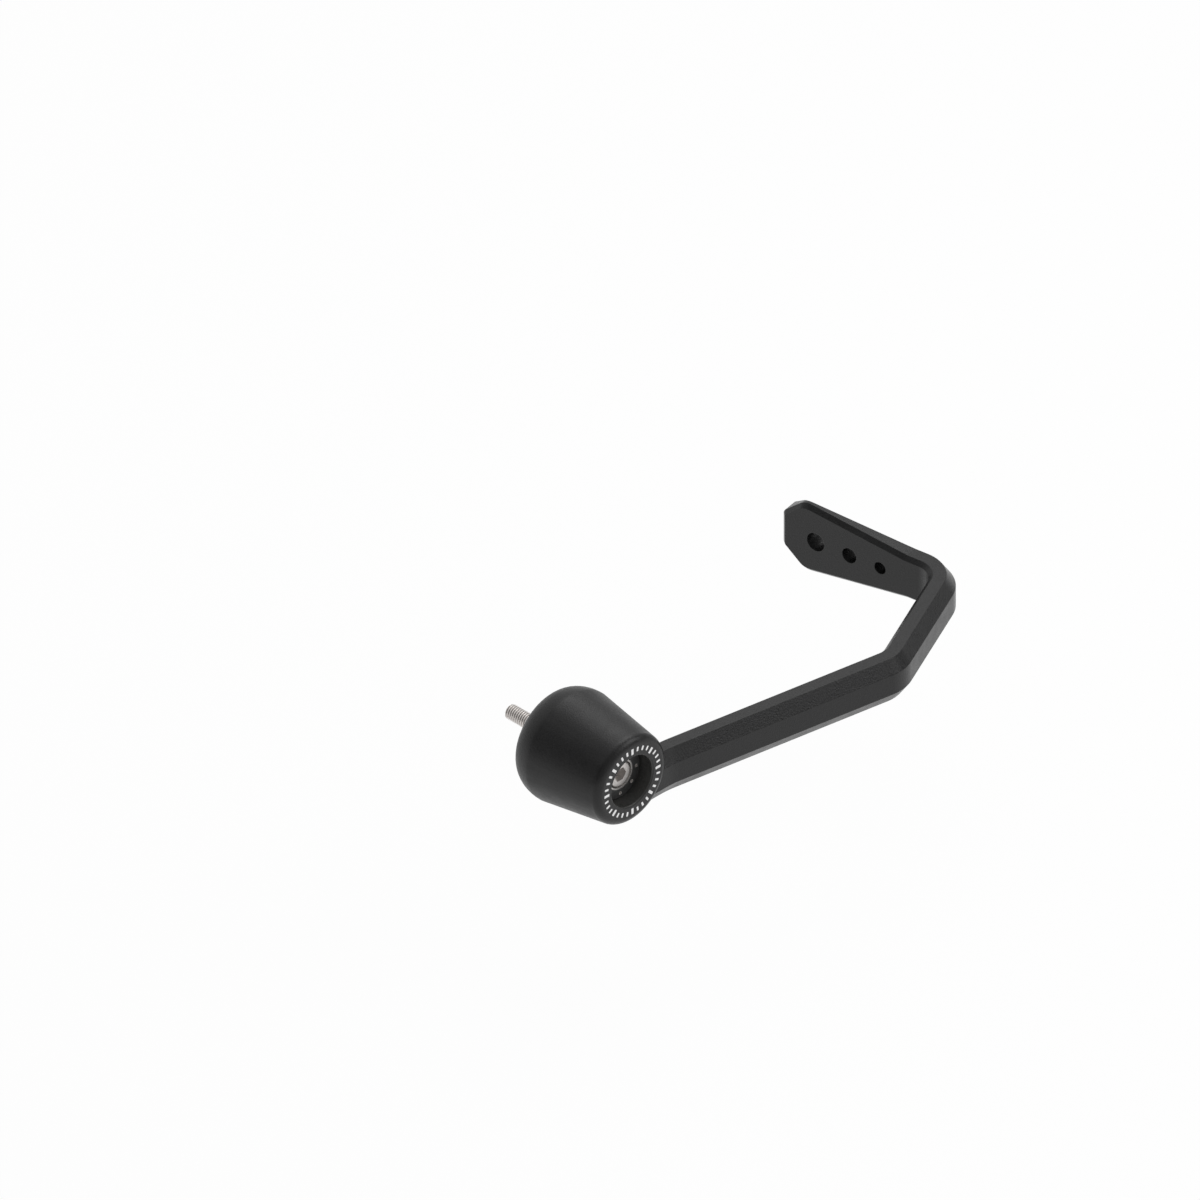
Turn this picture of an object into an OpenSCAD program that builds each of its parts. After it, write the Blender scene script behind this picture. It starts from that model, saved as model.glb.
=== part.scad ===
// Brake lever guard for the right end of a handlebar.
// The origin is the middle of the seat on the bar's end. +X runs outward along the bar,
// +Y runs forward to the lever and +Z is up. All sizes are in millimetres.

/* [Bobbin] */
// Length of the bobbin from its inner face to its outer face
bobbin_len = 42.4; // [38:0.1:48]
// Radius of the cone where it would meet the outer face
bobbin_face_r = 17.9; // [17:0.1:20]
// Half angle of the cone in degrees
bobbin_taper = 8.3; // [5:0.1:10]
// Rounding of the outer edge
face_round = 3.3; // [1.5:0.1:4]
// Length of the rounded shoulder at the inner end
shoulder_len = 11; // [8:0.1:13]
// Radius of the flat inner face
shoulder_flat_r = 16; // [15:0.1:18]
// Radius of the recess in the outer face
recess_r = 10.4; // [10.2:0.1:11]
// Rounding of the recess's mouth
recess_round = 0.8; // [0.4:0.1:1.2]
// Depth from the outer face to the ring nut and the bolt head
nut_depth = 6.2; // [4:0.1:9]

/* [Core] */
// Radius of the boss that seats on the bar's end
boss_r = 10.4; // [9:0.1:12]
// Length of the boss in front of the flange
boss_len = 4.1; // [3:0.1:8]
// Radius of the flange
flange_r = 14.1; // [13:0.1:15]
// Thickness of the flange
flange_t = 4; // [3:0.1:6]
// How far the flange stands proud of the bobbin
flange_proud = 0.8; // [0.5:0.1:2]
// Fillet between the boss and the flange
core_fillet = 1.5; // [0.5:0.1:2]
// Outer radius of the tube through the bobbin
tube_r = 8; // [7.6:0.1:9]
// Outer radius of the threaded end that takes the ring nut
stub_r = 6.2; // [6:0.05:6.5]
// Radius of the pocket round the bolt head
head_pocket_r = 5.6; // [5.45:0.05:5.8]
// Radius of the bolt's hole through the core
bolt_hole_r = 3.3; // [3.2:0.05:3.6]
// Radius of the hole's wider mouth in the boss
mouth_r = 4; // [3.7:0.1:5]
// Depth of the hole's wider mouth
mouth_depth = 8; // [4:0.1:12]

/* [Bolt] */
// Radius of the bolt's thread
bolt_r = 3; // [2.9:0.05:3.1]
// Length of the thread at the bolt's free end
thread_len = 15.5; // [10:0.5:15.5]
// Radius of the plain shank behind the thread
shank_r = 2.7; // [2.5:0.05:2.75]
// Length of the bolt under its head
bolt_len = 50.8; // [46:0.1:60]
// Radius of the bolt's head
head_r = 5; // [4.6:0.1:5.4]
// Height of the bolt's head
head_h = 6; // [5:0.1:7]
// Width of the hexagon socket across its flats
socket_af = 5; // [4:0.5:5]
// Depth of the hexagon socket
socket_depth = 3; // [2:0.1:4]
// Chamfer on the bolt's head and tip
bolt_chamfer = 0.5; // [0.2:0.05:0.8]

/* [Ring nut] */
// Radius of the ring nut
nut_r = 9.9; // [9.4:0.1:10.1]
// Thickness of the ring nut
nut_t = 4; // [3:0.1:5]
// Number of spanner holes in the ring nut
spanner_holes = 8; // [4:1:12]
// Radius of the circle that the spanner holes lie on
spanner_circle_r = 8.2; // [7.8:0.1:8.6]
// Radius of each spanner hole
spanner_hole_r = 0.55; // [0.3:0.05:0.7]
// Depth of each spanner hole
spanner_hole_depth = 1.5; // [1:0.1:2.5]

/* [Arm section] */
// Height of the arm
arm_h = 18.6; // [17:0.1:20]
// Thickness of the arm
arm_t = 10; // [9:0.1:12]
// Height of the flat outer side
side_h = 8.6; // [6:0.1:10]
// Width that the outer bevel takes from the thickness
bevel_w = 3.4; // [2.5:0.1:4]
// Chamfer along the inner side
inner_chamfer = 1.6; // [0.8:0.1:2]

/* [Arm route] */
// Distance from the bobbin's outer face in to the arm's middle plane
arm_setback = 7.2; // [6:0.1:10]
// Drop of the arm's middle below the bar's axis
arm_drop = 9.2; // [7:0.1:9.5]
// Forward reach of the root, from the axis to the first corner
lead_len = 23.7; // [22:0.1:30]
// Outward turn at the first corner in degrees
lead_turn = 10; // [4:1:16]
// Middle radius of the first bend
lead_bend_r = 40; // [20:1:60]
// Length of the long leg from the first corner to the second
long_len = 102.1; // [80:0.1:120]
// Inward turn at the second corner in degrees
knee_turn = 35; // [25:1:45]
// Middle radius of the second bend
knee_bend_r = 13; // [8:0.1:20]
// Length of the short leg from the second corner to the third
short_len = 58.9; // [45:0.1:70]
// Inward turn at the third corner in degrees
tip_turn = 75; // [60:1:85]
// Middle radius of the third bend
tip_bend_r = 14; // [10:0.1:20]

/* [End plate] */
// Length of the end plate from the third corner to its free end
plate_len = 71.4; // [64:0.1:80]
// Distance from the third corner to where the plate starts to widen
flare_at = 16.4; // [14:0.1:22]
// Angle by which each edge of the plate widens, in degrees
flare_angle = 7.2; // [3:0.1:8]
// Height of the straight free end
end_h = 14.2; // [9:0.1:16]
// Slope of the cut corners in degrees
end_cut = 40; // [30:1:50]
// Rounding between the free end and the cut corners
end_round = 2.5; // [2:0.1:4]
// Rounding between the cut corners and the long edges
cut_round = 7; // [3:0.1:8]
// Radius of the large hole
big_hole_r = 3.8; // [3:0.1:4.5]
// Radius of the middle hole
mid_hole_r = 3.1; // [2.5:0.1:3.6]
// Radius of the small hole
small_hole_r = 2.5; // [1.8:0.1:3]
// Distance from the third corner to the middle hole
mid_hole_at = 41.2; // [38:0.1:46]
// Spacing from the middle hole to the large hole
big_hole_gap = 14.9; // [11:0.1:16]
// Spacing from the middle hole to the small hole
small_hole_gap = 13.7; // [9:0.1:15]

/* [Hidden] */

// Running clearance between pieces that slip into one another
slip = 0.05;
// Length by which a cutting solid runs past the face that it cuts
past = 1;
// Steps in each large drawn arc and in each small one
arc_steps = 14;
small_arc_steps = 7;
// Length by which the last straight stretch and the widening plate run into each other
plate_root = 1.5;
// Degrees by which each bend runs into the stretch after it, so that the two are one solid
bend_overrun = 0.01;

// Places along the bar's axis
inner_face_x = boss_len + flange_proud;
outer_face_x = inner_face_x + bobbin_len;
flange_end_x = boss_len + flange_t;
nut_face_x = outer_face_x - nut_depth;
nut_seat_x = nut_face_x - nut_t;
head_seat_x = nut_face_x - head_h;

// The arm's section: half heights and the bevel's place
half_t = arm_t / 2;
half_h = arm_h / 2;
bevel_top_n = half_t - bevel_w;
bevel_slope = bevel_w / (half_h - side_h / 2);

// Straight lengths between the bends
lead_cut = lead_bend_r * tan(lead_turn / 2);
knee_cut = knee_bend_r * tan(knee_turn / 2);
tip_cut = tip_bend_r * tan(tip_turn / 2);
lead_run = lead_len - lead_cut;
long_run = long_len - lead_cut - knee_cut;
short_run = short_len - knee_cut - tip_cut;
plate_run = plate_len - tip_cut;
flare_run = flare_at - tip_cut;
holes_run = mid_hole_at - tip_cut;

// Turns a profile drawn as [place along the bar, radius] round the bar's axis
module turned() {
  rotate([90, 0, 90])
    rotate_extrude($fn = 96)
      mirror([1, -1])
        children();
}

// A plain drill along the bar's axis from one place to another
module drilled(from_x, to_x, r) {
  translate([from_x, 0, 0])
    rotate([0, 90, 0])
      cylinder(h = to_x - from_x, r = r, $fn = 64);
}

// Radius of the cone at a place along the bar's axis
function cone_r(x) = bobbin_face_r + (outer_face_x - x) * tan(bobbin_taper);

// Quarter ellipse from the flat inner face out to the cone
shoulder_end_x = inner_face_x + shoulder_len;
shoulder_rise = cone_r(shoulder_end_x) - shoulder_flat_r;
shoulder = [
  for (i = [0 : arc_steps])
    let (a = 90 * i / arc_steps)
      [shoulder_end_x - shoulder_len * cos(a), shoulder_flat_r + shoulder_rise * sin(a)]
];

// Arc that touches the cone and the outer face
round_x = outer_face_x - face_round;
round_r = cone_r(round_x) - face_round / cos(bobbin_taper);
outer_round = [
  for (i = [0 : arc_steps])
    let (a = (90 - bobbin_taper) * (1 - i / arc_steps))
      [round_x + face_round * cos(a), round_r + face_round * sin(a)]
];

module bobbin_blank() {
  turned()
    polygon(concat([[inner_face_x, 0]], shoulder, outer_round, [[outer_face_x, 0]]));
}

// Arc from the recess's wall out to the outer face
mouth_x = outer_face_x - recess_round;
mouth_arc = [
  for (i = [0 : small_arc_steps])
    let (a = 90 * i / small_arc_steps)
      [mouth_x + recess_round * sin(a), recess_r + recess_round * (1 - cos(a))]
];

// What is cut away to round the recess's mouth
module mouth_cut() {
  turned()
    polygon(concat(
      [[mouth_x, 0]],
      mouth_arc,
      [[outer_face_x + past, recess_r + recess_round], [outer_face_x + past, 0]]));
}

// The arm's section: X is the distance out from the middle plane and Y is the height
module arm_section() {
  polygon([
    [-half_t, half_h - inner_chamfer],
    [-half_t, -half_h + inner_chamfer],
    [-half_t + inner_chamfer, -half_h],
    [bevel_top_n, -half_h],
    [half_t, -side_h / 2],
    [half_t, side_h / 2],
    [bevel_top_n, half_h],
    [-half_t + inner_chamfer, half_h]
  ]);
}

// A straight stretch of the arm, forward from where it is placed
module straight(run) {
  translate([0, run, 0])
    rotate([90, 0, 0])
      linear_extrude(run)
        arm_section();
}

// Places its children ahead by a distance, or past an inward or outward bend
module ahead(run) {
  translate([0, run, 0])
    children();
}

module past_inward(r, angle) {
  translate([-r, 0, 0])
    rotate([0, 0, angle])
      translate([r, 0, 0])
        children();
}

module past_outward(r, angle) {
  translate([r, 0, 0])
    rotate([0, 0, -angle])
      translate([-r, 0, 0])
        children();
}

module bend_inward(r, angle) {
  translate([-r, 0, 0])
    rotate_extrude(angle = angle + bend_overrun, $fn = 96)
      translate([r, 0])
        arm_section();
}

module bend_outward(r, angle) {
  translate([r, 0, 0])
    mirror([1, 0, 0])
      rotate_extrude(angle = angle + bend_overrun, $fn = 96)
        translate([r, 0])
          mirror([1, 0])
            arm_section();
}

// Point where two lines meet, each given by the angle of its normal and its distance
function meet(a1, d1, a2, d2) =
  [(d1 * sin(a2) - d2 * sin(a1)) / sin(a2 - a1),
   (d2 * cos(a1) - d1 * cos(a2)) / sin(a2 - a1)];

// Distance from the origin to a line through a point, with the normal at an angle
function reach(p, angle) = p[0] * cos(angle) + p[1] * sin(angle);

// The plate's outline lies between its free end, a cut corner and a widening edge
cut_normal = 90 - end_cut;
flare_normal = 90 + flare_angle;
cut_reach = reach([plate_run, end_h / 2], cut_normal);
flare_reach = reach([flare_run, half_h], flare_normal);
end_corner = meet(0, plate_run - end_round, cut_normal, cut_reach - end_round);
cut_corner = meet(cut_normal, cut_reach - cut_round, flare_normal, flare_reach - cut_round);
root_corner = meet(flare_normal, flare_reach - end_round, 180, plate_root - flare_run - end_round);

// A disc across the arm's thickness with the inner side's chamfer on its edge
module plate_disc(p, r) {
  translate([-half_t, p[0], p[1]])
    rotate([0, 90, 0]) {
      cylinder(h = inner_chamfer, r1 = r - inner_chamfer, r2 = r, $fn = 48);
      translate([0, 0, inner_chamfer])
        cylinder(h = arm_t - inner_chamfer, r = r, $fn = 48);
    }
}

module plate_blank() {
  hull()
    for (side = [-1, 1]) {
      plate_disc([root_corner[0], side * root_corner[1]], end_round);
      plate_disc([cut_corner[0], side * cut_corner[1]], cut_round);
      plate_disc([end_corner[0], side * end_corner[1]], end_round);
    }
}

// The arm's bevels carried on past its height, which trim the wider plate
module bevel_prism() {
  tall = half_h + (bevel_top_n + half_t) / bevel_slope;
  translate([0, plate_run + past, 0])
    rotate([90, 0, 0])
      linear_extrude(plate_run + past)
        polygon([[-half_t, -tall], [half_t, -side_h / 2], [half_t, side_h / 2], [-half_t, tall]]);
}

module end_plate() {
  difference() {
    intersection() {
      plate_blank();
      bevel_prism();
    }
    plate_hole(holes_run, mid_hole_r);
    plate_hole(holes_run + big_hole_gap, big_hole_r);
    plate_hole(holes_run - small_hole_gap, small_hole_r);
  }
}

module plate_hole(at, r) {
  translate([-half_t - past, at, 0])
    rotate([0, 90, 0])
      cylinder(h = arm_t + 2 * past, r = r, $fn = 48);
}

module arm() {
  translate([outer_face_x - arm_setback, 0, -arm_drop]) {
    straight(lead_run);
    ahead(lead_run) {
      bend_outward(lead_bend_r, lead_turn);
      past_outward(lead_bend_r, lead_turn) {
        straight(long_run);
        ahead(long_run) {
          bend_inward(knee_bend_r, knee_turn);
          past_inward(knee_bend_r, knee_turn) {
            straight(short_run);
            ahead(short_run) {
              bend_inward(tip_bend_r, tip_turn);
              past_inward(tip_bend_r, tip_turn) {
                straight(flare_run + plate_root);
                end_plate();
              }
            }
          }
        }
      }
    }
  }
}

// The moulded bobbin and arm, bored for the core and recessed for the ring nut
module guard_body() {
  color([0.13, 0.13, 0.13])
    difference() {
      union() {
        bobbin_blank();
        arm();
      }
      drilled(inner_face_x - past, outer_face_x + past, tube_r + slip);
      drilled(inner_face_x - past, flange_end_x, flange_r + slip);
      drilled(nut_seat_x, outer_face_x + past, recess_r);
      mouth_cut();
    }
}

// Concave corner between the boss and the flange's front face
core_corner = [
  for (i = [0 : small_arc_steps])
    let (a = 90 * i / small_arc_steps)
      [boss_len - core_fillet * (1 - sin(a)), boss_r + core_fillet * (1 - cos(a))]
];

// The stepped steel core with its seat, flange, tube and threaded end
module bar_end_core() {
  color([0.75, 0.74, 0.72])
    difference() {
      turned()
        polygon(concat(
          [[0, 0], [0, boss_r]],
          core_corner,
          [[boss_len, flange_r], [flange_end_x, flange_r], [flange_end_x, tube_r],
           [nut_seat_x, tube_r], [nut_seat_x, stub_r], [nut_face_x, stub_r], [nut_face_x, 0]]));
      drilled(-past, nut_face_x + past, bolt_hole_r);
      drilled(-past, mouth_depth, mouth_r);
      drilled(head_seat_x, nut_face_x + past, head_pocket_r);
    }
}

// The black ring nut that holds the body on the core
module ring_nut() {
  color([0.08, 0.08, 0.08])
    difference() {
      drilled(nut_seat_x, nut_face_x, nut_r);
      drilled(nut_seat_x - past, nut_face_x + past, stub_r + slip);
      for (i = [0 : spanner_holes - 1])
        rotate([360 * i / spanner_holes, 0, 0])
          translate([0, 0, spanner_circle_r])
            drilled(nut_face_x - spanner_hole_depth, nut_face_x + past, spanner_hole_r);
    }
}

// The socket head bolt, with its thread as a plain cylinder of the full diameter
module clamp_bolt() {
  tip_x = head_seat_x - bolt_len;
  thread_end_x = tip_x + thread_len;
  color([0.75, 0.74, 0.72])
    difference() {
      turned()
        polygon([
          [tip_x, 0], [tip_x, bolt_r - bolt_chamfer], [tip_x + bolt_chamfer, bolt_r],
          [thread_end_x, bolt_r], [thread_end_x, shank_r],
          [head_seat_x, shank_r], [head_seat_x, head_r],
          [nut_face_x - bolt_chamfer, head_r], [nut_face_x, head_r - bolt_chamfer],
          [nut_face_x, 0]]);
      translate([nut_face_x - socket_depth, 0, 0])
        rotate([0, 90, 0])
          cylinder(h = socket_depth + past, r = socket_af / 2 / cos(30), $fn = 6);
    }
}

guard_body();
bar_end_core();
ring_nut();
clamp_bolt();
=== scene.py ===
# %% [markdown]
# # A brake lever guard
# This lesson dresses a motorcycle's brake lever guard: a conical bobbin that is bolted on the end
# of the handlebar, with an arm that runs forward beside the lever. The pieces of the real one come
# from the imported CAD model. This script gives them their finishes, cuts the bolt's thread, prints
# the scale on the bobbin's face, and sets the light and the camera. Everything is in metres, in the
# CAD model's own frame: X runs outward along the bar, Y forward and Z up.

import math

import bpy
from mathutils import Matrix, Vector


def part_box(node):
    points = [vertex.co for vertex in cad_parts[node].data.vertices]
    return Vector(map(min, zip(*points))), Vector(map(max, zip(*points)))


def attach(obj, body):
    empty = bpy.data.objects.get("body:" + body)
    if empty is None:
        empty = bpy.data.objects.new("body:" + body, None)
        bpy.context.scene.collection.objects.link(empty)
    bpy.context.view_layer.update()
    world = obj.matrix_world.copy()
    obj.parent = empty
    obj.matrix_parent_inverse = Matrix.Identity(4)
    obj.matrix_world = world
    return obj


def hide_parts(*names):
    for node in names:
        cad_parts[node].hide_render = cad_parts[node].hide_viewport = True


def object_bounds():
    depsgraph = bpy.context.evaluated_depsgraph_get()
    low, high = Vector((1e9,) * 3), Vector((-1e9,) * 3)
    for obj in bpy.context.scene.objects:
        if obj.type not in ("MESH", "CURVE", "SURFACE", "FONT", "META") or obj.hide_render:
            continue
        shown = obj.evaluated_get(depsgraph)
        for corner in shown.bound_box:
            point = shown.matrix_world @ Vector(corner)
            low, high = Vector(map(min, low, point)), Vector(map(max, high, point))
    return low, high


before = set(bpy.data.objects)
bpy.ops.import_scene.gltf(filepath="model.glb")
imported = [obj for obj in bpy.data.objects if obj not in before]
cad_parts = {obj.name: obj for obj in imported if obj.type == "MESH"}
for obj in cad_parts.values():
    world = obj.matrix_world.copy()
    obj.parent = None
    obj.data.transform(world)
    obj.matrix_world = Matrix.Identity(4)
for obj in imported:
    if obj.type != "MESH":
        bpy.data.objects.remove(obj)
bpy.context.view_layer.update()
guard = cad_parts["guard_body"]
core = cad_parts["bar_end_core"]
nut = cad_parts["ring_nut"]
MM = 0.001

# %% [markdown]
# The bolt's places along the bar are read from its CAD piece, so that the thread and the head sit
# exactly where the solid has them. Only the head's height isn't in its box: an M6 socket head is
# as high as the bolt is thick.

# %% Read the bolt's places along the bar
HEAD_HEIGHT = 6 * MM
bolt_low, bolt_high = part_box("clamp_bolt")
tip_x = bolt_low.x
head_top_x = bolt_high.x
head_seat_x = head_top_x - HEAD_HEIGHT
head_r = bolt_high.z
print("bolt from", round(tip_x / MM, 2), "to", round(head_top_x / MM, 2), "mm")

# %% [markdown]
# Most of Blender's operators act on all that is selected. These helpers clear the selection first,
# pick one object, and pick the faces or edges that a test finds by their place.

# %% Selection helpers
def deselect_all():
    bpy.ops.object.select_all(action="DESELECT")


def only(piece):
    deselect_all()
    piece.select_set(True)
    bpy.context.view_layer.objects.active = piece


def pick(piece, kind, test):
    """Selects, in edit mode, the faces, edges or vertices that pass the test, and counts them."""
    bpy.ops.object.mode_set(mode="EDIT")
    bpy.ops.mesh.select_mode(type=kind)
    bpy.ops.mesh.select_all(action="DESELECT")
    bpy.ops.object.mode_set(mode="OBJECT")
    mesh = piece.data
    found = 0
    parts = {"FACE": mesh.polygons, "EDGE": mesh.edges, "VERT": mesh.vertices}[kind]
    for part in parts:
        if test(part):
            part.select = True
            found += 1
    bpy.ops.object.mode_set(mode="EDIT")
    return found


def out_of_edit():
    bpy.ops.object.mode_set(mode="OBJECT")


def finish_modifier(piece, name):
    only(piece)
    bpy.ops.object.modifier_apply(modifier=name)


def settle(piece):
    """Puts the object back at the origin, unturned, with its place in its mesh."""
    only(piece)
    bpy.ops.object.transform_apply(location=True, rotation=True, scale=True)


def report(piece):
    low = [min(v.co[i] for v in piece.data.vertices) / MM for i in range(3)]
    high = [max(v.co[i] for v in piece.data.vertices) / MM for i in range(3)]
    print(piece.name, "faces", len(piece.data.polygons),
          "box mm", [round(v, 2) for v in low], [round(v, 2) for v in high])

# %% [markdown]
# ## The moulded body
# The CAD body comes as separate flat faces that carry shading normals of their own. A copy of it
# drops those normals, is welded into one closed skin, and has the faces that lie in one plane
# joined. It is then shaded smooth except across its real edges, so that the bobbin's shoulder reads
# as one round and not as rings. A Weighted Normal modifier lets the large faces settle the shading
# at their borders, which keeps the arm's long faces evenly flat beside its small bends.

# %% Weld and smooth the body
WELD_GAP = 0.004 * MM
SAME_PLANE = math.radians(0.6)
REAL_EDGE = math.radians(25)
only(guard)
bpy.ops.object.duplicate(linked=False)
body = bpy.context.active_object
body.name = "guard_moulding"
bpy.ops.mesh.customdata_custom_splitnormals_clear()
bpy.ops.object.mode_set(mode="EDIT")
bpy.ops.mesh.select_all(action="SELECT")
bpy.ops.mesh.remove_doubles(threshold=WELD_GAP)
bpy.ops.mesh.dissolve_limited(angle_limit=SAME_PLANE)
bpy.ops.mesh.normals_make_consistent(inside=False)
out_of_edit()
bpy.ops.object.shade_smooth_by_angle(angle=REAL_EDGE)
weigh = body.modifiers.new("weigh_normals", "WEIGHTED_NORMAL")
weigh.mode = "FACE_AREA"
weigh.weight = 100
weigh.keep_sharp = True
finish_modifier(body, "weigh_normals")
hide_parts("guard_body")
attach(body, "root")
report(body)

# %% [markdown]
# ## The bolt's thread
# The bolt that clamps the guard to the bar is an M6 with a 1 mm pitch, and its threaded end stands
# out of the bobbin. A thread is one tooth's outline carried round the axis while it moves along by
# one pitch a turn. Blender's Screw modifier does just that, and it welds each turn to the next. The
# outline is a strip of four edges: a flat root, a flank, a flat crest and a flank back.

# %% Draw one tooth and screw it along the axis
PITCH = 1.0 * MM
CREST_R = 3.0 * MM
ROOT_R = 2.42 * MM
# Each corner's radius, and its place along the tooth as a share of the pitch
TOOTH = [(ROOT_R, 0.0), (ROOT_R, 0.2), (CREST_R, 0.48), (CREST_R, 0.72), (ROOT_R, 1.0)]
THREAD_LEN = 15.5 * MM
EXTRA_TURNS = 2
STEPS_A_TURN = 48

deselect_all()
bpy.ops.mesh.primitive_plane_add(size=2 * MM)
thread = bpy.context.active_object
thread.name = "thread_cutter"
bpy.ops.object.mode_set(mode="EDIT")
bpy.ops.mesh.select_mode(type="VERT")
bpy.ops.mesh.select_all(action="SELECT")
bpy.ops.mesh.merge(type="CENTER")
bpy.ops.transform.translate(value=(ROOT_R, 0, 0))
for (last_r, last_share), (radius, share) in zip(TOOTH, TOOTH[1:]):
    bpy.ops.mesh.extrude_vertices_move(
        TRANSFORM_OT_translate={"value": (radius - last_r, 0, (share - last_share) * PITCH)})
out_of_edit()

screw = thread.modifiers.new("turns", "SCREW")
screw.axis = "Z"
screw.angle = 2 * math.pi
screw.screw_offset = PITCH
screw.iterations = int(THREAD_LEN / PITCH) + EXTRA_TURNS
screw.steps = screw.render_steps = STEPS_A_TURN
screw.use_merge_vertices = True
screw.merge_threshold = 0.002 * MM
finish_modifier(thread, "turns")
print("thread has", len(thread.data.vertices), "vertices")

# %% [markdown]
# The ends of the screwed strip are ragged, so each is cut off square by a plane that also fills the
# cut. That makes the strip a closed bar of thread, and its normals are then turned outwards.

# %% Close the thread's two ends
RAGGED = 1.05 * PITCH
thread_low = min(v.co.z for v in thread.data.vertices)
thread_high = max(v.co.z for v in thread.data.vertices)
for height, below in ((thread_low + RAGGED, True), (thread_high - RAGGED, False)):
    only(thread)
    bpy.ops.object.mode_set(mode="EDIT")
    bpy.ops.mesh.select_all(action="SELECT")
    bpy.ops.mesh.bisect(plane_co=(0, 0, height), plane_no=(0, 0, 1), use_fill=True,
                        clear_inner=below, clear_outer=not below)
    out_of_edit()
bpy.ops.object.mode_set(mode="EDIT")
bpy.ops.mesh.select_all(action="SELECT")
bpy.ops.mesh.remove_doubles(threshold=0.001 * MM)
bpy.ops.mesh.normals_make_consistent(inside=False)
out_of_edit()
report(thread)

# %% [markdown]
# A real threaded end starts as a plain bar with a chamfer at its tip. Such a bar is made from a
# cylinder, and a helper bevels its rim. The same two helpers serve for the shank and the head.

# %% Turn the threaded end's plain bar
TIP_CHAMFER = 0.55 * MM


def cylinder_along_bar(name, start_x, end_x, radius, sides=96):
    """A closed cylinder on the bar's axis, from one place along the bar to another."""
    deselect_all()
    bpy.ops.mesh.primitive_cylinder_add(vertices=sides, radius=radius, depth=end_x - start_x,
                                        location=((start_x + end_x) / 2, 0, 0),
                                        rotation=(0, math.pi / 2, 0))
    made = bpy.context.active_object
    made.name = name
    settle(made)
    return made


def bevel_rim(piece, at_x, width, steps):
    """Bevels the round edge at one place along the bar."""
    def on_rim(edge):
        ends = [piece.data.vertices[i].co for i in edge.vertices]
        return all(abs(end.x - at_x) < 0.01 * MM for end in ends)
    count = pick(piece, "EDGE", on_rim)
    bpy.ops.mesh.bevel(offset=width, segments=steps, profile=0.5, affect="EDGES")
    out_of_edit()
    return count


thread_end_x = tip_x + THREAD_LEN
bolt = cylinder_along_bar("threaded_bolt", tip_x, thread_end_x, CREST_R)
print("tip edges chamfered:", bevel_rim(bolt, tip_x, TIP_CHAMFER, 1))

# %% [markdown]
# The bar of thread is laid along the same axis. Where it and the plain bar share room, the real
# threaded end is left: the crests stay, the grooves are cut, and the chamfer runs out over the
# first turn. A boolean set to intersect does this.

# %% Cut the thread
def middle_x(piece):
    places = [v.co.x for v in piece.data.vertices]
    return (min(places) + max(places)) / 2


only(thread)
bpy.ops.transform.rotate(value=math.pi / 2, orient_axis="Y", center_override=(0, 0, 0))
settle(thread)
bpy.ops.transform.translate(value=((tip_x + thread_end_x) / 2 - middle_x(thread), 0, 0))
settle(thread)


def combine(piece, other, operation):
    """Joins or cuts one closed mesh with another, which is used up."""
    joint = piece.modifiers.new("combine", "BOOLEAN")
    joint.operation = operation
    joint.solver = "EXACT"
    joint.object = other
    finish_modifier(piece, "combine")
    deselect_all()
    other.select_set(True)
    bpy.ops.object.delete()


combine(bolt, thread, "INTERSECT")
report(bolt)

# %% [markdown]
# The plain shank and the head are turned too. The head starts as a cylinder, its rims are rounded,
# and its hexagon socket is a six-sided hole cut by another boolean. Each piece laps a little into
# the next, because a union needs shared room.

# %% Shape the shank and the socket head
SHANK_R = 2.7 * MM
SOCKET_ACROSS = 5 * MM
SOCKET_DEPTH = 3 * MM
LAP = 0.5 * MM
socket_r = SOCKET_ACROSS / 2 / math.cos(math.pi / 6)
shank = cylinder_along_bar("shank", thread_end_x - 0.6 * MM, head_seat_x + LAP, SHANK_R)
head = cylinder_along_bar("head", head_seat_x, head_top_x, head_r)
bevel_rim(head, head_top_x, 0.5 * MM, 3)
bevel_rim(head, head_seat_x, 0.2 * MM, 1)
socket = cylinder_along_bar("socket", head_top_x - SOCKET_DEPTH, head_top_x + 1 * MM, socket_r, 6)
combine(head, socket, "DIFFERENCE")
combine(bolt, shank, "UNION")
combine(bolt, head, "UNION")
only(bolt)
bpy.ops.object.shade_smooth_by_angle(angle=math.radians(28))
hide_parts("clamp_bolt")
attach(bolt, "root")
report(bolt)

# %% [markdown]
# ## The printed scale
# The bobbin's outer face carries a white print between the recess and the rounded edge. Here it is
# a plain scale of marks, like a dial's: a longer one at each eighth of a turn and three shorter
# ones between. One mark is made from a thin block that is sunk half into the face, and the corners
# of its outline are rounded.

# %% Make a long and a short mark
PRINT_T = 0.06 * MM
FLAT_FACE_R = 13 * MM
MARKS_OUTER_R = 14.4 * MM
face_x = max(v.co.x for v in body.data.vertices
             if Vector((v.co.y, v.co.z)).length < FLAT_FACE_R)
print("face at", round(face_x / MM, 2), "mm")


def make_mark(name, inner_r, width):
    deselect_all()
    bpy.ops.mesh.primitive_cube_add(size=1, location=(face_x, 0, (inner_r + MARKS_OUTER_R) / 2),
                                    scale=(2 * PRINT_T, width, MARKS_OUTER_R - inner_r))
    mark = bpy.context.active_object
    mark.name = name
    settle(mark)

    def along_bar(edge):
        a, b = [mark.data.vertices[i].co for i in edge.vertices]
        return abs(a.x - b.x) > PRINT_T
    pick(mark, "EDGE", along_bar)
    bpy.ops.mesh.bevel(offset=width * 0.2, segments=3, profile=0.5, affect="EDGES")
    out_of_edit()
    return mark


long_mark = make_mark("long_mark", 11.9 * MM, 1.1 * MM)
short_mark = make_mark("short_mark", 12.6 * MM, 0.85 * MM)
report(long_mark)

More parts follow.
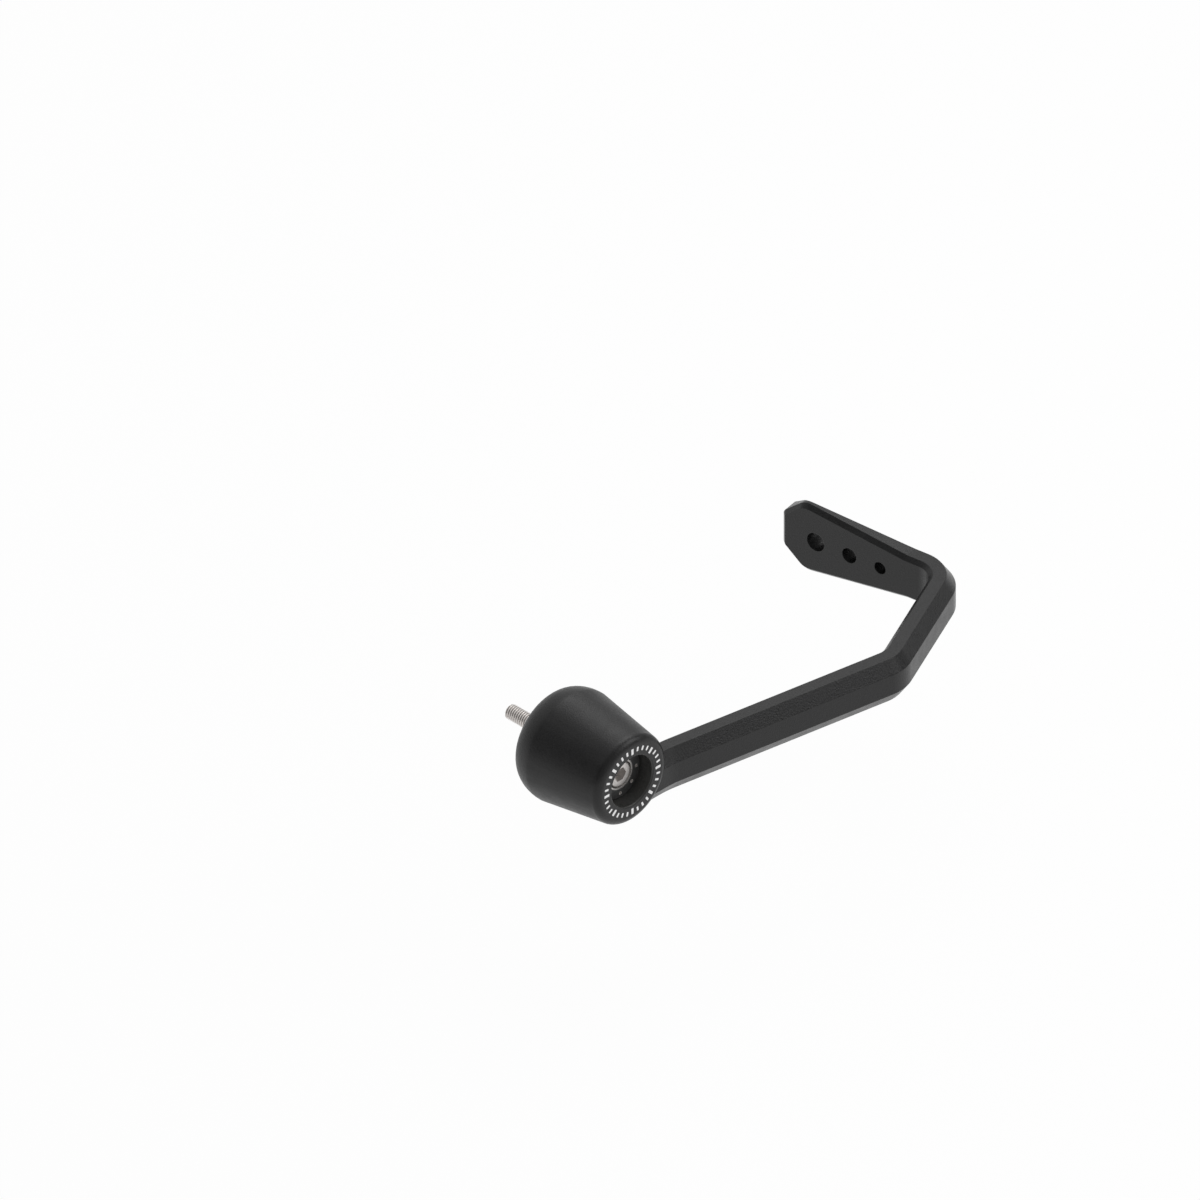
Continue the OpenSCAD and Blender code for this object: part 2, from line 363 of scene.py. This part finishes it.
# %% [markdown]
# Copies of the two marks are turned round the bar's axis. Each copy has a mesh of its own, and all
# are joined into one piece at the end, because a print is one layer of ink.

# %% Set the marks round the face
MARKS = 32
LONG_EVERY = 4
marks = []
for i in range(MARKS):
    only(short_mark if i % LONG_EVERY else long_mark)
    bpy.ops.object.duplicate(linked=False)
    mark = bpy.context.active_object
    mark.data.transform(Matrix.Rotation(2 * math.pi * i / MARKS, 4, "X"))
    marks.append(mark)
deselect_all()
long_mark.select_set(True)
short_mark.select_set(True)
bpy.ops.object.delete()
deselect_all()
for mark in marks:
    mark.select_set(True)
bpy.context.view_layer.objects.active = marks[0]
bpy.ops.object.join()
scale = bpy.context.active_object
scale.name = "face_scale"
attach(scale, "root")
report(scale)

# %% [markdown]
# ## Finishes
# A finish is a small net of shader nodes. To write it as plain sums, each socket is wrapped in a
# class that adds a Math node for every plus, minus, times, divide or power, and one method adds
# every other kind of node.

# %% Sockets that can be added and multiplied
class Signal:
    """An output in a material's net, or, without a socket, the net itself."""

    def __init__(self, tree, socket=None):
        self.tree = tree
        self.socket = socket

    def node(self, kind, settings, inputs, output=0):
        """Adds a node, makes its settings, then fills its inputs with numbers or links."""
        made = self.tree.nodes.new(kind)
        for name, value in settings.items():
            setattr(made, name, value)
        for key, value in inputs.items():
            if isinstance(value, Signal):
                self.tree.links.new(value.socket, made.inputs[key])
            else:
                made.inputs[key].default_value = value
        return Signal(self.tree, made.outputs[output])

    def math(self, operation, first, second, clamp=False):
        return self.node("ShaderNodeMath", {"operation": operation, "use_clamp": clamp},
                         {0: first, 1: second})

    def __add__(self, other):
        return self.math("ADD", self, other)

    __radd__ = __add__

    def __sub__(self, other):
        return self.math("SUBTRACT", self, other)

    def __rsub__(self, other):
        return self.math("SUBTRACT", other, self)

    def __mul__(self, other):
        return self.math("MULTIPLY", self, other)

    __rmul__ = __mul__

    def __truediv__(self, other):
        return self.math("DIVIDE", self, other)

    def __pow__(self, other):
        return self.math("POWER", self, other)

    def clamped(self):
        return self.math("ADD", self, 0.0, clamp=True)

# %% [markdown]
# The same few steps come back in each finish: a new material with its constants on the shader's own
# sockets, noise that reads the piece's own place, a blend of two colours, and masks that rise or
# fall at a place. A mask is a number from 0 to 1 that says where on the piece something holds.

# %% Helpers for the finishes
def new_finish(name, metallic, specular):
    """A new material, its shader, its net and its object coordinates."""
    made = bpy.data.materials.new(name)
    made.use_nodes = True
    shader = made.node_tree.nodes["Principled BSDF"]
    shader.inputs["Metallic"].default_value = metallic
    shader.inputs["Specular IOR Level"].default_value = specular
    net = Signal(made.node_tree)
    return made, shader, net, net.node("ShaderNodeTexCoord", {}, {}, "Object")


def feed(net, shader, socket, value):
    net.tree.links.new(value.socket, shader.inputs[socket])


def dress(piece, finish):
    piece.data.materials.clear()
    piece.data.materials.append(finish)
    print(piece.name, "wears", finish.name, "of", len(finish.node_tree.nodes), "nodes")


def noise(net, place, scale, detail=2.0, rough=0.5):
    return net.node("ShaderNodeTexNoise", {},
                    {"Vector": place, "Scale": scale, "Detail": detail, "Roughness": rough},
                    "Fac")


def blend_colours(net, factor, first, second):
    """Blends two colours, each a net's colour or three plain numbers."""
    first, second = [shade if isinstance(shade, Signal) else (*shade, 1.0)
                     for shade in (first, second)]
    return net.node("ShaderNodeMix", {"data_type": "RGBA"}, {0: factor, 6: first, 7: second}, 2)


def along(net, place, axis):
    return net.node("ShaderNodeSeparateXYZ", {}, {"Vector": place}, axis)


def off_axis(net, place):
    """The distance from the bar's axis."""
    y, z = along(net, place, "Y"), along(net, place, "Z")
    return (y * y + z * z) ** 0.5


def rise(value, start, over):
    """0 up to the start, then up to 1 over the given length."""
    return ((value - start) / over).clamped()


def fall(value, end, over):
    """1, then down to 0 over the given length before the end."""
    return ((end - value) / over).clamped()

# %% [markdown]
# ### The black moulding
# The bobbin and the arm are a black engineering plastic with a fine grain. It is matt, and light
# from above gives the bobbin a soft, slightly cloudy sheen. The arm's grain is finer and its faces
# read cleaner. The bobbin's recess is painted a lighter grey, a painted light for the light that
# reaches into it. One finish does it all: the distance from the bar's axis tells the recess, the
# bobbin and the arm apart. A Bevel node rounds the shading at the edges by a third of a millimetre,
# as a mould does.

# %% Mix the moulding's finish
ARM_FROM_R = 22.0 * MM
RECESS_TO_R = 10.8 * MM
EDGE_ROUND = 0.35 * MM
GRAIN_DEPTH = 0.13 * MM
moulding, shader, net, place = new_finish("black_moulding", 0.0, 0.34)
from_axis = off_axis(net, place)
on_arm = rise(from_axis, ARM_FROM_R, 2.0 * MM)
in_recess = fall(from_axis, RECESS_TO_R, 0.2 * MM)
at_face = rise(along(net, place, "X"), face_x - 4 * MM, 1.5 * MM) * (1 - on_arm)
cloud = noise(net, place, 190, 3.0, 0.6)
grain = noise(net, place, 1400, 2.0, 0.7)
fine_grain = noise(net, place, 1700, 2.0, 0.6)

tone = ((cloud - 0.5) * 0.6 + (grain - 0.5) * 1.6 + 0.5).clamped()
black = blend_colours(net, tone, (0.003, 0.003, 0.0032), (0.0115, 0.0115, 0.0118))
# Painted light: the recess is painted a lighter grey for the light that reaches into it
feed(net, shader, "Base Color", blend_colours(net, in_recess, black, (0.04, 0.04, 0.038)))
feed(net, shader, "Roughness",
     0.42 - on_arm * 0.1 - at_face * 0.08 + (cloud - 0.5) * 0.2 + (grain - 0.5) * 0.15)
soft_edges = net.node("ShaderNodeBevel", {"samples": 6}, {"Radius": EDGE_ROUND})
bump_height = grain * (1 - on_arm) + fine_grain * on_arm
feed(net, shader, "Normal",
     net.node("ShaderNodeBump", {}, {"Strength": 0.6, "Distance": GRAIN_DEPTH,
                                     "Height": bump_height, "Normal": soft_edges}))
dress(body, moulding)

# %% [markdown]
# ### The steel core
# The core is turned on a lathe, which leaves fine rings round the bar's axis. Noise that is
# stretched, by reading only the distance from the axis and the place along it, gives such rings.

# %% Mix the core's finish
core_steel, shader, net, place = new_finish("turned_core_steel", 0.75, 0.5)
rings_at = net.node("ShaderNodeCombineXYZ", {},
                    {"X": along(net, place, "X"), "Y": off_axis(net, place), "Z": 0.0})
rings = noise(net, rings_at, 6000, 3.0, 0.6)
smudge = noise(net, place, 240)
feed(net, shader, "Base Color",
     blend_colours(net, smudge, (0.6, 0.58, 0.56), (0.72, 0.7, 0.68)))
feed(net, shader, "Roughness", 0.27 + (rings - 0.5) * 0.22 + (smudge - 0.5) * 0.08)
feed(net, shader, "Normal",
     net.node("ShaderNodeBump", {}, {"Strength": 0.25, "Distance": 0.02 * MM, "Height": rings}))
dress(core, core_steel)

# %% [markdown]
# ### The bright bolt
# The bolt is plain bright steel with a little unevenness. Painted shade darkens the grooves of its
# thread and the bottom of its socket. The head is painted a little darker than the thread, and is
# rougher. Masks by the distance from the axis and the place along it find the grooves, the head and
# the socket.

# %% Mix the bolt's finish
GROOVE_TO_R = 2.9 * MM
SOCKET_TO_R = 2.95 * MM
bolt_steel, shader, net, place = new_finish("bright_bolt_steel", 0.65, 0.5)
bolt_x = along(net, place, "X")
bolt_radius = off_axis(net, place)
threaded = fall(bolt_x, 0.5 * MM, 0.5 * MM) * rise(bolt_x, tip_x, 0.1 * MM)
in_groove = fall(bolt_radius, GROOVE_TO_R, 0.3 * MM) * threaded
at_head = rise(bolt_x, head_seat_x, 0.5 * MM)
in_socket = fall(bolt_radius, SOCKET_TO_R, 0.1 * MM) * at_head
# Painted shade in the thread's grooves and the socket's bottom, and a head painted a little darker
shaded = (in_groove * 0.62 + at_head * 0.2 + in_socket * 0.2).clamped()
smudge = noise(net, place, 300)
feed(net, shader, "Base Color",
     blend_colours(net, shaded, (0.88, 0.845, 0.82), (0.1, 0.08, 0.07)))
feed(net, shader, "Roughness", 0.22 + smudge * 0.08 + shaded * 0.2 + at_head * 0.1)
dress(bolt, bolt_steel)

# %% [markdown]
# ### The ring nut
# The nut is black and a little glossier than the moulding. Its eight small spanner holes show as
# pale dots: a pale, half metallic colour is painted at their mouths. The angle round the axis is
# cut into eight parts with a hole in the middle of each, and a mask by the distance from it paints
# the dot.

# %% Mix the nut's finish
SPANNER_HOLES = 8
SPANNER_CIRCLE_R = 8.2 * MM
DOT_R = 0.74 * MM
nut_black, shader, net, place = new_finish("black_nut", 0.0, 0.5)
turn = net.math("ARCTAN2", along(net, place, "Z"), along(net, place, "Y"))
parts_round = turn * (SPANNER_HOLES / (2 * math.pi)) + (SPANNER_HOLES + 0.5)
off_hole = net.math("FRACT", parts_round, 0.0) - 0.5
sideways = off_hole * (2 * math.pi * SPANNER_CIRCLE_R / SPANNER_HOLES)
outward = off_axis(net, place) - SPANNER_CIRCLE_R
# A pale, half metallic dot is painted at each spanner hole's mouth
pale_dot = fall((sideways * sideways + outward * outward) ** 0.5, DOT_R, 0.12 * MM)
nut_grain = noise(net, place, 1200)
blackened = blend_colours(net, nut_grain, (0.022, 0.022, 0.022), (0.042, 0.042, 0.042))
feed(net, shader, "Base Color", blend_colours(net, pale_dot, blackened, (0.7, 0.67, 0.64)))
feed(net, shader, "Metallic", pale_dot * 0.5)
feed(net, shader, "Roughness", 0.36 + (nut_grain - 0.5) * 0.14)
dress(nut, nut_black)

# %% [markdown]
# ### The white ink
# The print is a matt white ink, a little worn, so that its brightness and its gloss vary slightly.

# %% Mix the ink's finish
ink, shader, net, place = new_finish("white_ink", 0.0, 0.3)
wear = noise(net, place, 900, 3.0)
feed(net, shader, "Base Color", blend_colours(net, wear, (0.84, 0.84, 0.84), (0.94, 0.94, 0.94)))
feed(net, shader, "Roughness", 0.5 + (wear - 0.5) * 0.2)
dress(scale, ink)

# %% [markdown]
# ## The stage
# The guard is photographed on plain white in even studio light. The floor lies below the whole
# guard. It is pale, and for the camera and for reflections most of it glows white, so that it meets
# the white background with no edge while the guard's soft shadow stays on it.

# %% Lay the floor
FLOOR_DROP = 60 * MM
FLOOR_R = 6.0
GLOW_SHARE = 0.95
low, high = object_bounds()
middle = (low + high) / 2
deselect_all()
bpy.ops.mesh.primitive_circle_add(vertices=96, radius=FLOOR_R, fill_type="NGON",
                                  location=(middle.x, middle.y, low.z - FLOOR_DROP))
floor = bpy.context.active_object
floor.name = "floor"


def seen_rays(net):
    """1 for what the camera sees, also in a reflection or through glass, and 0 otherwise."""
    path = "ShaderNodeLightPath"
    return (net.node(path, {}, {}, "Is Camera Ray") + net.node(path, {}, {}, "Is Glossy Ray")
            + net.node(path, {}, {}, "Is Transmission Ray")).clamped()


paper, surface, net, place = new_finish("pale_floor", 0.0, 0.0)
surface.inputs["Roughness"].default_value = 0.9
fibres = noise(net, place, 40)
feed(net, surface, "Base Color", blend_colours(net, fibres, (0.8, 0.8, 0.8), (0.82, 0.82, 0.82)))
glow = net.node("ShaderNodeEmission", {}, {"Color": (1, 1, 1, 1), "Strength": 1.0})
both = net.node("ShaderNodeMixShader", {},
                {0: seen_rays(net) * GLOW_SHARE, 1: Signal(net.tree, surface.outputs[0]), 2: glow})
feed(net, net.tree.nodes["Material Output"], "Surface", both)
dress(floor, paper)

# %% [markdown]
# The world is white where the camera sees it, and gives a gentler light to the surfaces themselves.
# A real studio isn't equally bright all round: it is dimmer behind the guard, above its near corner
# and low in front of it. Glossy rays meet that dimmer world, so the black moulding's faces come out
# in different greys and its bevels can be told apart.

# %% Set the world
WORLD_LIGHT = 0.6
DIM_ALL_ROUND = 0.18
# Each dim side: its direction, the cosine at which it starts, and how much it dims
DIM_SIDES = [((-0.34, -0.88, 0.33), 0.7, 0.5),
             ((0.577, -0.577, 0.577), 0.5, 0.5),
             ((0.56, 0.8, 0.2), 0.5, 0.52)]
world = bpy.data.worlds.new("studio")
bpy.context.scene.world = world
world.use_nodes = True
net = Signal(world.node_tree)
background = world.node_tree.nodes["Background"]
background.inputs["Color"].default_value = (1, 1, 1, 1)
direction = net.node("ShaderNodeTexCoord", {}, {}, "Generated")
dim = DIM_ALL_ROUND
for side, start, amount in DIM_SIDES:
    towards = net.node("ShaderNodeVectorMath", {"operation": "DOT_PRODUCT"},
                       {0: direction, 1: side}, "Value")
    dim = rise(towards, start, 1 - start) * amount + dim
in_gloss = net.node("ShaderNodeLightPath", {}, {}, "Is Glossy Ray")
feed(net, background, "Strength",
     WORLD_LIGHT + seen_rays(net) * (1 - WORLD_LIGHT) - dim * in_gloss)
print("world nodes:", len(world.node_tree.nodes))

# %% [markdown]
# Two large soft lamps hang over the guard. The stronger one is above it and in front, and gives the
# bobbin its sheen. The weaker one is on the outer side, towards the face with the printed scale.

# %% Hang the lamps
def soft_lamp(name, place, size, watts):
    """A round lamp that faces the guard's middle."""
    data = bpy.data.lights.new(name, "AREA")
    data.shape = "DISK"
    data.size = size
    data.energy = watts
    lamp = bpy.data.objects.new(name, data)
    bpy.context.scene.collection.objects.link(lamp)
    lamp.location = place
    lamp.rotation_euler = (middle - Vector(place)).to_track_quat("-Z", "Y").to_euler()
    print(name, "hangs", round((Vector(place) - middle).length, 2), "m from the guard")


soft_lamp("lamp_above", (middle.x - 0.25, middle.y + 0.45, 0.95), 0.8, 3.45)
soft_lamp("lamp_outside", (middle.x + 0.62, middle.y + 0.5, 0.62), 0.7, 3.0)

# %% [markdown]
# ## The camera
# The photograph is a parallel isometric view: it looks down by 35.26 degrees along a line that
# makes the same angle with all three axes, and a millimetre is 2.75 pixels wide in a 1200-pixel
# image.

# %% Set the camera
IMAGE_PX = 1200
PX_PER_MM = 2.75
CAMERA_AWAY = 1.2
looking = Vector((-1, 1, -1)).normalized()
aim = Vector((38.81, -8.19, 80.72)) * MM
view_data = bpy.data.cameras.new("view")
view_data.type = "ORTHO"
view_data.ortho_scale = IMAGE_PX / PX_PER_MM * MM
view_data.clip_start, view_data.clip_end = 0.05, 20
camera = bpy.data.objects.new("view", view_data)
bpy.context.scene.collection.objects.link(camera)
camera.location = aim - looking * CAMERA_AWAY
camera.rotation_euler = looking.to_track_quat("-Z", "Y").to_euler()
bpy.context.scene.camera = camera
bpy.context.scene.view_settings.view_transform = "Standard"
print("camera sees", round(view_data.ortho_scale / MM, 1), "mm across")
